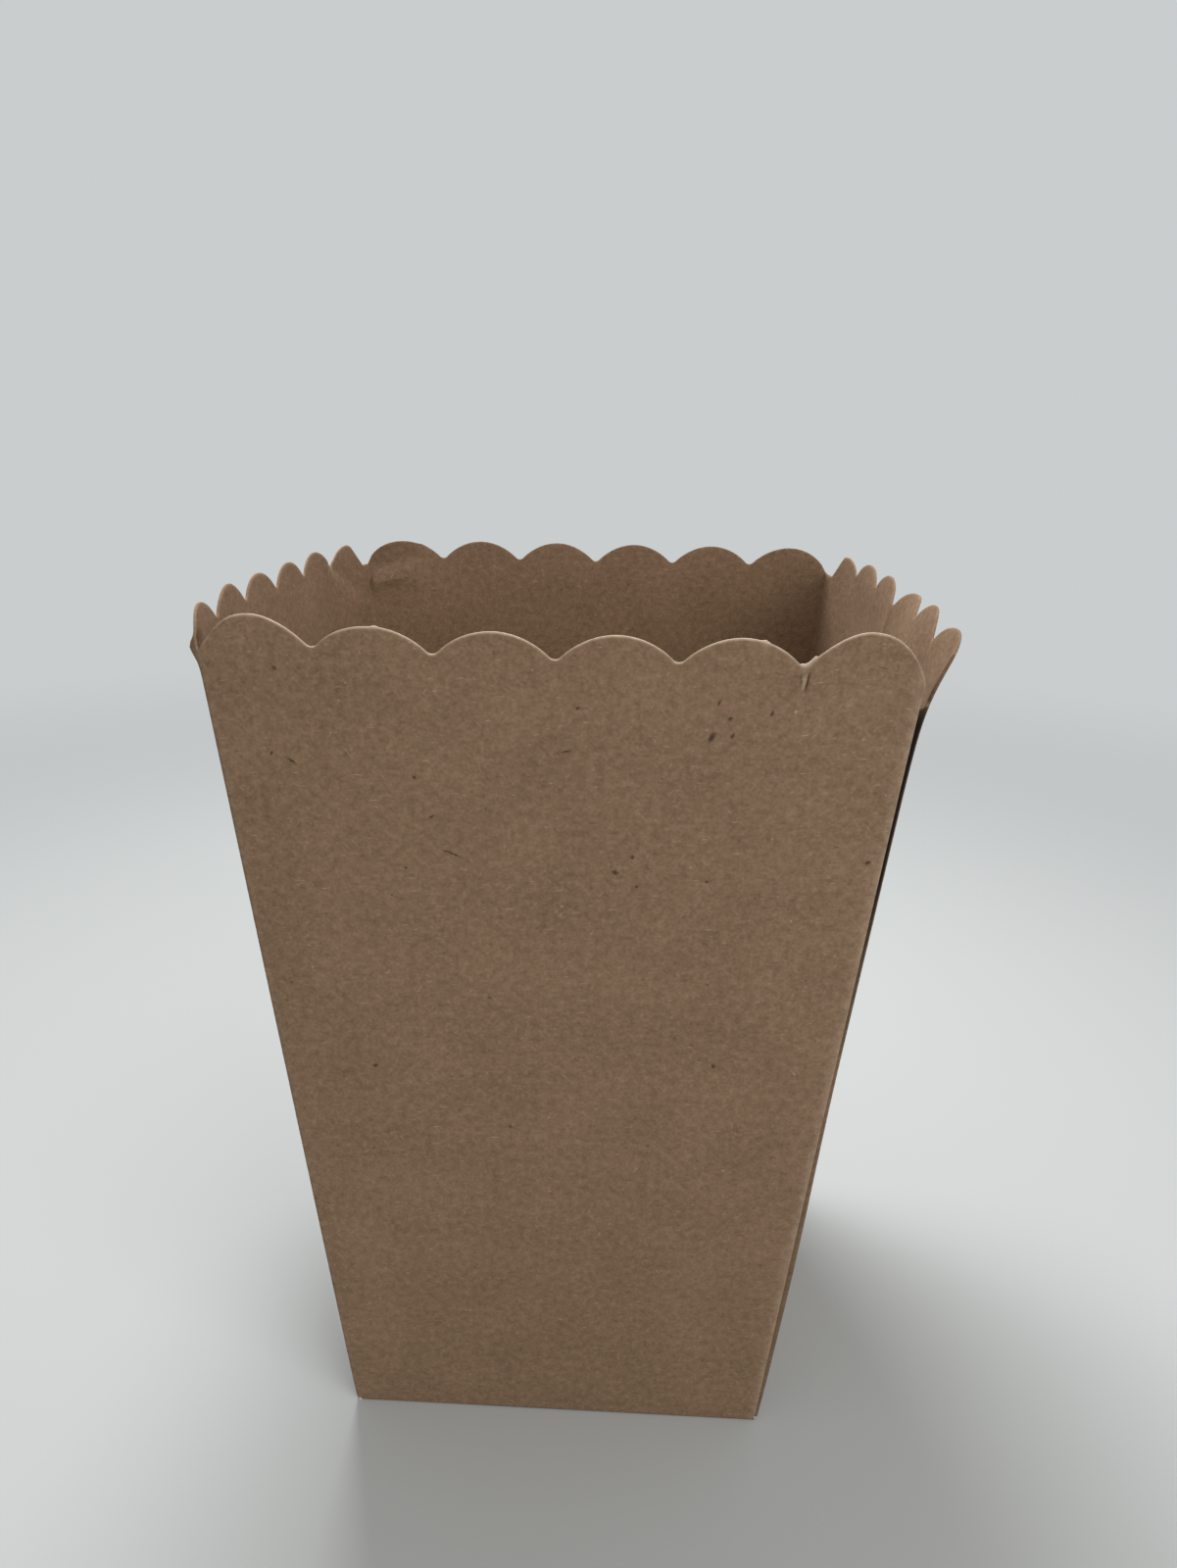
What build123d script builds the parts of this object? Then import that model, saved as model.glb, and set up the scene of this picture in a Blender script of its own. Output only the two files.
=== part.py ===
from build123d import *
import os
from math import asin, atan, atan2, cos, hypot, sin, tan

# A tapering square cup folded from one die-cut sheet of kraft board.
# Millimetres. The origin is the middle of the base on the floor, +Z is up and the front wall faces -Y.

# The sheet, and the inside of every crease in it
board = 0.4
inner_fold_radius = 0.2
fold_ease = 0.03

# The walls: outer width at the base folds, outer width between the corner folds at the rim,
# height of the corners at the rim, how far the rims of the front and back and of the side walls
# bulge past their corners, and how much of each rim stays flat between its two bent sides
base_side = 60.0
rim_side = 82.0
corner_height = 116.5
front_bow = 3.4
side_bow = 4.4
flat_share = 0.4

# The scalloped rim: each scallop rises this far over the rounded troughs beside it,
# and at the corners the cut goes deeper than the troughs
scallops_per_wall = 6
scallop_rise = 2.9
trough_radius = 0.9
corner_drop = 1.5

# The glued corner, front right: a flap of the right wall is stuck inside the front wall,
# whose bare edge stops short of the fold
seam_gap = 0.05
glue_flap_width = 12.0
glue_flap_taper = 4.0
glue_flap_top_gap = 2.5

# The locking base: the front flap's tongue passes up through the notch of the back flap,
# and the two side flaps lie between them
layer_gap = 0.1
step_run = 2.0
corner_relief = 0.8
corner_chamfer = 3.0
lock_flap_depth = 26.0
lock_flap_taper = 3.0
tongue_width = 30.0
tongue_length = 21.0
tongue_radius = 6.0
tongue_climb = 5.0
notch_clearance = 1.0
prong_length = 15.0
prong_taper = 2.0
prong_radius = 3.0
side_flap_gap = 1.6
side_flap_slope = 8.0
side_flap_radius = 2.0

# How far cutting shapes run past what they cut
overrun = 1.0

fold_radius = inner_fold_radius + board
wall_rise = corner_height - fold_radius
wall_run = (rim_side - base_side) / 2
lean = atan2(wall_run, wall_rise)
slant = hypot(wall_run, wall_rise)
base_half = base_side / 2
layer = board + layer_gap

# The walls are made up to this height and then cut down to the scallops
top_height = corner_height + corner_drop + scallop_rise + overrun
top_share = (top_height - fold_radius) / wall_rise
top_half = base_half + wall_run * top_share
crown_half = top_half * flat_share
front_reach = top_half + front_bow * top_share
side_reach = top_half + side_bow * top_share


def flat(*points):
    """The flat face between these points."""
    return make_face(Polyline(*points, close=True)).face()


def cone_over(low, far_low, corner, crown):
    """Axis and half angle of the cone that a wall's side is bent to.

    It stands on the lower corner, holds the corner fold, and runs on smoothly from the flat part
    in the wall's middle, which goes from the base fold to the rim's crown.
    """
    to_crown = (crown - low).normalized()
    to_corner = (corner - low).normalized()
    outward = to_crown.cross(far_low - low).normalized()
    if outward.dot(to_corner) > 0:
        outward = -outward
    half_angle = atan((to_crown.dot(to_corner) - 1) / outward.dot(to_corner))
    return to_crown * cos(half_angle) - outward * sin(half_angle), half_angle


def bent_side(low, far_low, corner, crown):
    """What the bent side of a wall adds outside the flat triangle between its corners and its crown's end."""
    axis, half_angle = cone_over(low, far_low, corner, crown)
    height = (crown - low).length
    cone = Solid.make_cone(0, height * tan(half_angle), height, Plane(low, z_dir=axis))
    outward = (crown - low).normalized() * cos(half_angle) - axis
    prism = extrude(flat(low, corner, crown), dir=outward.normalized(), amount=rim_side)
    return cone & prism


def fold_normal(far_low, crown):
    """The level direction that a wall faces beside the front right corner fold."""
    low = Vector(base_half, -base_half, fold_radius)
    corner = Vector(top_half, -top_half, top_height)
    axis, half_angle = cone_over(low, far_low, corner, crown)
    outward = (corner - low).normalized() * cos(half_angle) - axis
    return Vector(outward.X, outward.Y, 0).normalized()


far_front = Vector(-base_half, -base_half, fold_radius)
far_side = Vector(base_half, base_half, fold_radius)
out_front = fold_normal(far_front, Vector(crown_half, -front_reach, top_height))
out_side = fold_normal(far_side, Vector(side_reach, -crown_half, top_height))


def wall_body(inset):
    """Everything inside the four walls, moved inward by inset, each wall bent as card bends."""
    corner_inset = (out_front + out_side) * (inset / (1 + out_front.dot(out_side)))
    turns = ((-1, 1), (1, 1), (1, -1), (-1, -1))
    low = base_half - inset
    lows = [Vector(x * low, -y * low, fold_radius) for x, y in turns]
    top = Vector(top_half, -top_half, top_height) - corner_inset
    tops = [Vector(x * top.X, y * top.Y, top_height) for x, y in turns]
    faces = [flat(*lows)]
    rim = []
    bulges = []
    for wall, reach in enumerate((front_reach, side_reach, front_reach, side_reach)):
        after = (wall + 1) % 4
        turn = Rot(0, 0, 90 * wall)
        start = (turn * Pos(-crown_half, inset - reach, top_height)).position
        end = (turn * Pos(crown_half, inset - reach, top_height)).position
        rim += [tops[wall], start, end]
        faces.append(flat(lows[wall], lows[after], end, start))
        faces.append(flat(lows[wall], start, tops[wall]))
        faces.append(flat(lows[after], end, tops[after]))
        bulges.append(bent_side(lows[wall], lows[after], tops[wall], start))
        bulges.append(bent_side(lows[after], lows[wall], tops[after], end))
    faces.append(flat(*rim))
    return Solid(Shell(faces)).fuse(*bulges)


# The flat plane through the front wall's base fold and its two upper corners, facing outward
wall_plane = Plane(
    origin=(0, -base_half, fold_radius), x_dir=(1, 0, 0), z_dir=(0, -cos(lean), -sin(lean))
)


def rim_cutter():
    """What the die cuts off above the front wall: arcs joined by rounded troughs, and deeper corners."""
    pitch = rim_side / scallops_per_wall
    trough_level = slant + corner_drop
    crest = trough_level + scallop_rise
    reach = scallop_rise / 2 + pitch**2 / (8 * scallop_rise)
    end_drop = crest - slant
    end_radius = end_drop / 2 + pitch**2 / (8 * end_drop)
    inner = (reach - trough_radius, asin(pitch / (2 * reach)))
    outer = (end_radius, asin(pitch / (2 * end_radius)))
    edges = []
    for number in range(scallops_per_wall):
        middle = (number + 1 / 2) * pitch - rim_side / 2
        top = (middle, crest)
        radius, turn = inner if number else outer
        left = (middle - radius * sin(turn), crest - radius * (1 - cos(turn)))
        left_half = (middle - radius * sin(turn / 2), crest - radius * (1 - cos(turn / 2)))
        if number:
            edges.append(ThreePointArc(edges[-1] @ 1, (middle - pitch / 2, trough_level), left))
        edges.append(ThreePointArc(left, left_half, top))
        radius, turn = inner if number < scallops_per_wall - 1 else outer
        right = (middle + radius * sin(turn), crest - radius * (1 - cos(turn)))
        right_half = (middle + radius * sin(turn / 2), crest - radius * (1 - cos(turn / 2)))
        edges.append(ThreePointArc(top, right_half, right))
    first = edges[0] @ 0
    last = edges[-1] @ 1
    head = crest + rim_side / 2
    out = rim_side / 2 + pitch
    edges.append(Polyline(last, (out, slant), (out, head), (-out, head), (-out, slant), first))
    blank = extrude(wall_plane * make_face(edges), amount=rim_side / 2, both=True)
    wedge = make_face(Polyline((0, 0), (-rim_side, -rim_side), (rim_side, -rim_side), (0, 0)))
    return blank & extrude(wedge, amount=top_height + overrun)


def half_width(rise):
    """Half the flat front wall's width at a distance up it from the base fold."""
    return base_half + wall_run * rise / slant


def glue_flap():
    """The front wall's right edge with the flap of the right wall stuck behind it."""
    low = -overrun
    high = slant - glue_flap_top_gap
    outline = make_face(
        Polyline(
            (half_width(low) + overrun, low),
            (half_width(high) + overrun, high),
            (half_width(high), high),
            (half_width(high) - glue_flap_width, high - glue_flap_taper),
            (half_width(low) - glue_flap_width, low),
            (half_width(low) + overrun, low),
        )
    )
    outward = extrude(wall_plane * outline, amount=front_bow + overrun)
    inward = extrude(wall_plane * outline, amount=-(2 * board + inner_fold_radius))
    return (wall_body(0) - wall_body(2 * board)) & (outward + inward)


def fold_cutter(behind_front, front_edge):
    """What is open outside the front right corner fold, whose rounding starts behind_front of the front wall.

    front_edge is how far from the corner the front wall ends and how deep it is cut there, or None.
    """
    half = base_half - wall_run * fold_radius / wall_rise
    corner = Vector(half, -half, 0)
    behind_side = fold_radius - fold_ease
    cross = out_front.X * out_side.Y - out_front.Y * out_side.X
    centre = corner + Vector(
        (behind_side * out_front.Y - behind_front * out_side.Y) / cross,
        (behind_front * out_side.X - behind_side * out_front.X) / cross,
        0,
    )
    on_front = centre + out_front * fold_radius
    on_side = centre + out_side * fold_radius
    on_fold = centre + (out_front + out_side).normalized() * fold_radius
    outside = [on_side, on_side + out_side * overrun, corner + (out_front + out_side) * overrun]
    if front_edge:
        setback, depth = front_edge
        edge = corner + Vector(out_front.Y, -out_front.X, 0) * setback
        outside += [edge + out_front * overrun, edge - out_front * depth, on_front]
    else:
        outside += [on_front + out_front * overrun, on_front]
    outline = make_face([ThreePointArc(on_front, on_fold, on_side), Polyline(*outside)])
    along = Vector(wall_run, -wall_run, wall_rise)
    return extrude(outline, dir=along.normalized(), amount=along.length + rim_side / 2)


def base_flap(climb, outline):
    """A base flap as the front wall has it: round its fold and along the points of climb, cut to outline."""
    under = [(fold_radius, 0), *climb]
    over = [(depth, height + board) for depth, height in reversed(under)]
    centre = (fold_radius, fold_radius)
    section = make_face(
        [
            CenterArc(centre, fold_radius, 180, 90),
            Polyline(*under, *over),
            CenterArc(centre, inner_fold_radius, 180, 90),
            Line((board, fold_radius), (0, fold_radius)),
        ]
    )
    across = Plane(origin=(0, -base_half, 0), x_dir=(0, 1, 0), z_dir=(1, 0, 0))
    strip = extrude(across * section, amount=base_half, both=True)
    return strip & extrude(Pos(0, -base_half, 0) * outline, amount=base_side)


def mirrored(points):
    """A closed outline from its right half, given from the fold to the free edge."""
    left = [(-across, depth) for across, depth in reversed(points)]
    return make_face(Polyline(*points, *left, points[0]))


tongue_half = tongue_width / 2
flap_half = base_half - corner_relief
first_step = fold_radius + step_run
second_step = first_step + step_run
tongue_end = lock_flap_depth + tongue_length
climb_end = lock_flap_depth + tongue_climb
notch_depth = base_side - climb_end - notch_clearance
prong_end = notch_depth + prong_length
notch_half = tongue_half + notch_clearance

lock_outline = mirrored(
    [
        (flap_half, -overrun),
        (flap_half, fold_radius),
        (flap_half - corner_chamfer, fold_radius + corner_chamfer),
        (flap_half - corner_chamfer - lock_flap_taper, lock_flap_depth),
        (tongue_half, lock_flap_depth),
        (tongue_half, tongue_end),
    ]
)
lock_outline = fillet(lock_outline.vertices().sort_by(Axis.Y)[-2:], tongue_radius)
lock_climb = [(lock_flap_depth, 0), (climb_end, 3 * layer), (tongue_end + overrun, 3 * layer)]
lock_flap = base_flap(lock_climb, lock_outline)

notch_outline = mirrored(
    [
        (flap_half, -overrun),
        (flap_half, second_step),
        (flap_half - prong_taper, prong_end),
        (notch_half, prong_end),
        (notch_half, notch_depth),
    ]
)
notch_outline = fillet(notch_outline.vertices().sort_by(Axis.Y)[-4:], prong_radius)
notch_climb = [(second_step, 2 * layer), (prong_end + overrun, 2 * layer)]
notch_flap = Rot(0, 0, 180) * base_flap(notch_climb, notch_outline)

side_front = fold_radius + corner_relief + corner_chamfer + layer_gap - base_half
side_back = base_half - second_step - corner_relief
side_inner = base_half - side_flap_gap / 2
side_open = base_half - notch_half
lobe_front = climb_end + layer_gap - base_half
side_outline = make_face(
    Polyline(
        (side_front, -overrun),
        (side_front, first_step),
        (lobe_front - side_flap_slope, side_open),
        (lobe_front, side_open),
        (lobe_front, side_inner),
        (side_back - side_flap_slope, side_inner),
        (side_back, first_step),
        (side_back, -overrun),
        (side_front, -overrun),
    )
)
side_outline = fillet(side_outline.vertices().sort_by(Axis.Y)[-2:], side_flap_radius)
side_climb = [(first_step, layer), (base_half, layer)]
right_flap = Rot(0, 0, 90) * base_flap(side_climb, side_outline)
left_flap = mirror(right_flap, about=Plane.YZ)

walls = wall_body(0) - wall_body(board)
cutter = rim_cutter()
for wall in range(4):
    walls = walls - Rot(0, 0, 90 * wall) * cutter
walls = walls + glue_flap()
seam_depth = board + seam_gap
walls = walls - fold_cutter(seam_depth + fold_radius, (fold_radius + seam_gap, seam_depth))
front_left = mirror(fold_cutter(fold_radius - fold_ease, None), about=Plane.YZ)
back_left = mirror(front_left, about=Plane.XZ)
back_right = mirror(back_left, about=Plane.YZ)
walls = walls - front_left - back_left - back_right
cup = walls + lock_flap + notch_flap + right_flap + left_flap

print(cup.is_valid, len(cup.solids()), cup.volume, cup.bounding_box())
os.makedirs("parts", exist_ok=True)
export_step(cup.solid(), "parts/popcorn_cup.step")
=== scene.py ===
import math

import bpy
import numpy as np
from mathutils import Matrix, Vector


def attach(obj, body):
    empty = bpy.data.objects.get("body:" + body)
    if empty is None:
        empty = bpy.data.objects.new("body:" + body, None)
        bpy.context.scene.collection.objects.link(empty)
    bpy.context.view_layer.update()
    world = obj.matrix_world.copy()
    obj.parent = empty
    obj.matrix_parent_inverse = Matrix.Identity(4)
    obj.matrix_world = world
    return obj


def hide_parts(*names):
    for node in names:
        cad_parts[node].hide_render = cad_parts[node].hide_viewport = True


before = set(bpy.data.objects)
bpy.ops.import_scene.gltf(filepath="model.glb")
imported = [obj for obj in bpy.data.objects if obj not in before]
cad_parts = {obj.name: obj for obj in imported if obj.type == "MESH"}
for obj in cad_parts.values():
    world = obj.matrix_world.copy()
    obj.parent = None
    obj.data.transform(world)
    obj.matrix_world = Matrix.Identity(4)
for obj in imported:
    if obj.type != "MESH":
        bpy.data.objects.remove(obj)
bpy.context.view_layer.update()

# The cup is worked out in millimetres and made in metres
MM = 0.001
# Sockets of a Mix node: its two colours, and their mix
MIX_A, MIX_B, MIX_RESULT = 6, 7, 2

# The board, and the walls folded from it. Widths are at the middle of the board's thickness, and a share of
# each wall's width stays flat.
board = 0.4
foot_height = 0.6
half_base = 29.8
half_rim = 40.8
wall_rise = 115.9
wall_run = half_rim - half_base
slant = math.hypot(wall_rise, wall_run)
flat_share = 0.4

# The die-cut rim
scallops = 6
scallop_rise = 2.84
trough_radius = 0.9
corner_drop = 1.33

# The mesh: columns for each scallop, crowded towards the troughs, and rows, crowded towards the rim
walls = ("right", "back", "left", "front")
quarter_turns = {"front": 0, "right": 1, "back": 2, "left": 3}
columns_per_scallop = {"front": 36, "right": 20, "back": 20, "left": 20}
rows = 52
crowding_share = 0.1
rim_zone_share = 0.1

# How the walls have sprung since the cup was folded: each rim's bulge, the rise of its crests and troughs in
# turn from the wall's left end seen from outside, and the shift of its corners at the rim and at the foot.
# The powers say how late up the wall a rise and a shift come, and how close to the folds a rise fades.
bows = {"front": 1.3, "right": 3.9, "back": 3.09, "left": 3.52}
rim_lifts = {
    "front": (0.3, -0.35, -0.6, -0.72, -0.73, -0.92, -0.73, -0.82, -0.65, -0.8, 0.2),
    "right": (-0.45, -0.2, 0.0, 0.1, -0.55, -0.3, -0.05, 0.2, -0.2, 0.15, -0.45),
    "back": (-0.15, -0.35, -0.27, -0.45, -0.29, -0.5, -0.29, -0.45, -0.27, -0.4, -0.15),
    "left": (-0.35, -0.25, -0.12, -0.1, -0.1, -0.05, 0.05, 0.2, 0.4, 0.25, 0.1),
}
rim_shifts = {
    "front_left": (-0.26, -0.4, 0.5), "front_right": (0.12, -1.41, 0.5),
    "back_right": (-0.1, -0.34, 0.0), "back_left": (0.19, -0.55, -0.16),
}
foot_shifts = {
    "front_left": (-0.25, -1.0, 0.0), "front_right": (-0.1, -0.6, 0.0),
    "back_right": (0.0, 0.0, 0.0), "back_left": (0.0, 0.0, 0.0),
}
corners = {
    "front": ("front_left", "front_right"), "right": ("front_right", "back_right"),
    "back": ("back_right", "back_left"), "left": ("back_left", "front_left"),
}
lift_power = 3
fold_power = 12
shift_power = 1.5

# Marks of handling. A place on a wall is its distance along from the middle, seen from outside, and up from
# the foot. Where the board is pushed out of shape: wall, place, half width and half height, distance out of
# the cup
dents = (
    ("right", (-41, 121), (9, 6.5), 2.1),
    ("right", (-41, 119), (9, 16), 0.5),
    ("left", (39.6, 116.4), (1.6, 1.1), 0.85),
    ("left", (23, 121), (8, 12), -0.6),
    ("right", (-8, 121), (6, 7), 0.7),
    ("right", (-16, 108), (13, 9), -1.2),
    ("right", (-37, 85), (7, 32), 0.22),
    ("right", (-31.5, 26), (7, 26), 0.55),
    ("right", (-30, 2), (6, 10), 0.2),
    ("right", (-18, 123.5), (24, 3.5), 1.9),
    ("right", (18, 117), (10, 4), -0.3),
)
# Soft bends and creases: wall, start, end, half width, distance out of the cup, tone. A dark tone is painted
# shade in a crease line; a pale one is partly the crease rubbed paler and partly a painted highlight on its
# lit side.
creases = (
    ("right", (0.5, 122), (2.5, 92), 1.4, -0.3, 0.0),
    ("left", (-27.2, 118), (-39, 111), 1.0, 0.3, 0.1),
    ("back", (40.0, 113.0), (33.0, 114.6), 1.3, -0.95, 0.0),
    ("back", (39.2, 114.9), (32.6, 117.2), 0.7, 0.0, 0.16),
    ("front", (26.9, 116.8), (27.1, 115.6), 0.15, -0.12, -0.6),
    ("front", (27.9, 116.6), (27.6, 114.9), 0.16, -0.16, -0.9),
    ("front", (27.45, 116.4), (27.3, 114.8), 0.13, 0.06, 0.35),
)
# A scallop's tip that leans in over a bend, but not at the fold: wall, the bend's start and end, tangent of
# the lean
leaning_tips = (
    ("back", (39.5, 115), (31.9, 117.4), 0.36),
)
lean_clearance = 3.0
# Scraps left standing in the cut: wall, from and to along the rim, rise over the cut, slope of the rise, tone
scraps = (
    ("front", 26.9, 28.5, 0.15, 0.12, 0.7),
    ("front", -20.0, -19.5, 0.14, 0.1, 0.5),
    ("front", 22.6, 23.2, 0.16, 0.1, 0.6),
)
scrap_depth = 0.3
# The front's right end runs further down to the seam
end_run_down = 1.4
end_power = 3
end_depth = 6.0
# End scallops cut off by a straight slope: wall, its first or last column, where the slope starts, slope
trims = (
    ("front", 0, 0.0, 1.1),
    ("right", -1, 2.6, 1.1),
    ("left", 0, 1.8, 1.1),
)
trim_round = 0.3

# The seam: the front's bare edge over the glue flap, which the right wall's front fold turns behind it. The
# flap's upper end stops short of the rim and slopes, and its lower end stands on the base.
seam_step = 0.43
seam_room = 1.0
glue_width = 12.0
glue_columns = 9
glue_top_rows = 10
glue_taper = 3.0
glue_foot = 0.45

# A fold is rounded over its reach to each side, and the columns within its room are left out
fold_reach = 0.4
fold_room = 0.6
fold_steps = 5

# Cut edges: how the die has thinned and rubbed them, and the painted highlight where they face up or catch
# the light
edge_thin_share = 0.5
edge_thin_reach = 0.12
edge_pale_reach = 0.13
edge_paleness_and_highlight = {"front": 0.9, "right": 0.12, "back": 0.12, "left": 0.12}
bare_pale_reach = 0.8
bare_tone = 0.2
# Inside the free edge over the glue flap, the board's inner face is painted dark as the seam's shade
seam_shade = -0.9
seam_shade_reach = (3.0, 2.6)


def node(tree, kind, inputs=None, **settings):
    """Adds a node with its settings and links. An input is a value, an output or a node's first output."""
    made = tree.nodes.new(kind)
    for name, value in settings.items():
        setattr(made, name, value)
    for key, value in (inputs or {}).items():
        if isinstance(value, bpy.types.Node):
            value = value.outputs[0]
        if isinstance(value, bpy.types.NodeSocket):
            tree.links.new(value, made.inputs[key])
        else:
            made.inputs[key].default_value = value
    return made


def colour(code):
    """The linear colour of an sRGB hex value."""
    parts = [int(code[i:i + 2], 16) / 255 for i in (1, 3, 5)]
    return [p / 12.92 if p <= 0.04045 else ((p + 0.055) / 1.055) ** 2.4 for p in parts] + [1.0]


# A wall is a grid bent as card bends, flat in the middle and rolled to a cone beside each corner fold, with
# its upper edge cut to scallops. Each sum below is its name, a Math operation, and its values: sums above it,
# named inputs or plain numbers.
wall_sums = (
    # Columns crowd towards the troughs, where the cut turns sharply
    ("even", "ADD", "grid x", 0.5),
    ("up", "ADD", "grid y", 0.5),
    ("turns", "MULTIPLY", "even", "Scallops"),
    ("phase", "MULTIPLY", "turns", 2 * math.pi),
    ("wave", "SINE", "phase"),
    ("crowd", "MULTIPLY", "wave", "Crowding"),
    ("share", "SUBTRACT", "even", "crowd"),
    ("across", "SUBTRACT", "share", 0.5),
    # The cut: arcs that meet in rounded troughs
    ("scallop", "MULTIPLY", "share", "Scallops"),
    ("part", "FRACT", "scallop"),
    ("off crest", "SUBTRACT", "part", 0.5),
    ("off share", "ABSOLUTE", "off crest"),
    ("aside", "MULTIPLY", "off share", "Pitch"),
    ("aside squared", "POWER", "aside", 2.0),
    ("crest squared", "POWER", "Crest Radius", 2.0),
    ("crest left", "SUBTRACT", "crest squared", "aside squared"),
    ("crest kept", "MAXIMUM", "crest left", 0.0),
    ("crest arc", "SQRT", "crest kept"),
    ("crest", "ADD", "crest arc", "Crest Centre"),
    ("past share", "SUBTRACT", 0.5, "off share"),
    ("past", "MULTIPLY", "past share", "Pitch"),
    ("past squared", "POWER", "past", 2.0),
    ("trough squared", "POWER", "Trough Radius", 2.0),
    ("trough left", "SUBTRACT", "trough squared", "past squared"),
    ("trough kept", "MAXIMUM", "trough left", 0.0),
    ("trough arc", "SQRT", "trough kept"),
    ("trough", "SUBTRACT", "Trough Centre", "trough arc"),
    ("on crest", "LESS_THAN", "aside", "Crest Half"),
    ("crest over", "SUBTRACT", "crest", "trough"),
    ("inner", "MULTIPLY_ADD", "on crest", "crest over", "trough"),
    # The outer half of each end scallop runs down to the corner
    ("end squared", "POWER", "End Radius", 2.0),
    ("end left", "SUBTRACT", "end squared", "aside squared"),
    ("end arc", "SQRT", "end left"),
    ("outer", "ADD", "end arc", "End Centre"),
    ("off middle", "ABSOLUTE", "across"),
    ("at end", "GREATER_THAN", "off middle", "End From"),
    ("outer over", "SUBTRACT", "outer", "inner"),
    ("rim", "MULTIPLY_ADD", "at end", "outer over", "inner"),
    # Rows crowd towards the rim, and only the upper ones follow the cut
    ("down", "SUBTRACT", 1.0, "up"),
    ("down squared", "POWER", "down", 2.0),
    ("level", "SUBTRACT", 1.0, "down squared"),
    ("zone", "SUBTRACT", "Rim Zone", "down squared"),
    ("zone kept", "MAXIMUM", "zone", 0.0),
    ("zone share", "DIVIDE", "zone kept", "Rim Zone"),
    ("follow", "POWER", "zone share", 1.5),
    ("lift", "DIVIDE", "rim", "Slant"),
    ("height", "MULTIPLY_ADD", "follow", "lift", "level"),
    # Where the board lies at that height
    ("foot share", "SUBTRACT", 1.0, "height"),
    ("foot half", "MULTIPLY", "foot share", "Half Base"),
    ("flat", "MULTIPLY_ADD", "height", "Flat Half", "foot half"),
    ("half line", "MULTIPLY_ADD", "height", "Roll Length", "flat"),
    ("both ways", "MULTIPLY", "across", 2.0),
    ("along", "MULTIPLY", "both ways", "half line"),
    ("away", "ABSOLUTE", "along"),
    ("past flat", "SUBTRACT", "away", "flat"),
    ("rolled", "MAXIMUM", "past flat", 0.0),
    ("roll", "MULTIPLY", "height", "Roll Radius"),
    ("angle", "DIVIDE", "rolled", "roll"),
    ("sine", "SINE", "angle"),
    ("on flat", "MINIMUM", "away", "flat"),
    ("out", "MULTIPLY_ADD", "sine", "roll", "on flat"),
    ("side", "SIGN", "along"),
    ("wall x", "MULTIPLY", "side", "out"),
    ("cosine", "COSINE", "angle"),
    ("fallen share", "SUBTRACT", 1.0, "cosine"),
    ("fallen", "MULTIPLY", "roll", "fallen share"),
    ("lean", "MULTIPLY_ADD", "height", "Bulge", "Half Base"),
    ("wall y", "SUBTRACT", "fallen", "lean"),
    ("wall z", "MULTIPLY_ADD", "height", "Rise", "Foot Height"),
)


def wall_sizes(wall):
    """The sizes that the wall's tree takes, worked out from the wall's bow."""
    side = half_rim * (1 - flat_share)
    roll_radius = (side**2 + bows[wall] ** 2) / (2 * bows[wall])
    roll_length = roll_radius * math.asin(side / roll_radius)
    half_length = half_rim * flat_share + roll_length
    half_pitch = half_length / scallops
    reach = (scallop_rise**2 + half_pitch**2) / (2 * scallop_rise)
    crest_radius = reach - trough_radius
    end_drop = scallop_rise + corner_drop
    end_radius = (end_drop**2 + half_pitch**2) / (2 * end_drop)
    return {
        "Half Base": half_base, "Flat Half": half_rim * flat_share, "Bulge": wall_run + bows[wall],
        "Rise": wall_rise, "Slant": slant, "Foot Height": foot_height,
        "Roll Radius": roll_radius, "Roll Length": roll_length,
        "Scallops": float(scallops), "Crowding": crowding_share / scallops, "Pitch": 2 * half_pitch,
        "Crest Radius": crest_radius, "Crest Centre": scallop_rise - crest_radius + corner_drop,
        "Crest Half": crest_radius * half_pitch / reach,
        "Trough Radius": trough_radius, "Trough Centre": trough_radius + corner_drop,
        "End Radius": end_radius, "End Centre": end_drop - end_radius, "End From": 0.5 - 0.5 / scallops,
        "Rim Zone": rim_zone_share,
    }


def bent_wall_tree():
    """Geometry Nodes that make one wall from its sizes and keep each point's place on the flat blank."""
    tree = bpy.data.node_groups.new("bent_wall", "GeometryNodeTree")
    for name in wall_sizes("front"):
        tree.interface.new_socket(name, in_out="INPUT", socket_type="NodeSocketFloat")
    for name in ("Columns", "Rows"):
        tree.interface.new_socket(name, in_out="INPUT", socket_type="NodeSocketInt")
    tree.interface.new_socket("Board", in_out="INPUT", socket_type="NodeSocketMaterial")
    tree.interface.new_socket("Wall", in_out="OUTPUT", socket_type="NodeSocketGeometry")
    given = node(tree, "NodeGroupInput").outputs
    grid = node(tree, "GeometryNodeMeshGrid", {"Vertices X": given["Columns"], "Vertices Y": given["Rows"]})
    place = node(tree, "ShaderNodeSeparateXYZ", {0: node(tree, "GeometryNodeInputPosition")})
    made = {socket.name: socket for socket in given}
    made["grid x"] = place.outputs[0]
    made["grid y"] = place.outputs[1]
    for name, operation, *values in wall_sums:
        inputs = {slot: made[value] if isinstance(value, str) else value for slot, value in enumerate(values)}
        made[name] = node(tree, "ShaderNodeMath", inputs, operation=operation)
    flat = node(tree, "ShaderNodeCombineXYZ", {0: made["along"], 1: made["height"], 2: made["share"]})
    kept = node(
        tree, "GeometryNodeStoreNamedAttribute", {"Geometry": grid, "Name": "on_blank", "Value": flat},
        data_type="FLOAT_VECTOR", domain="POINT",
    )
    point = node(tree, "ShaderNodeCombineXYZ", {0: made["wall x"], 1: made["wall y"], 2: made["wall z"]})
    bent = node(tree, "GeometryNodeSetPosition", {"Geometry": kept, "Position": point})
    whole = node(tree, "GeometryNodeRealizeInstances", {0: bent})
    done = node(tree, "GeometryNodeSetMaterial", {"Geometry": whole, "Material": given["Board"]})
    node(tree, "NodeGroupOutput", {"Wall": done})
    return tree


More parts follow.
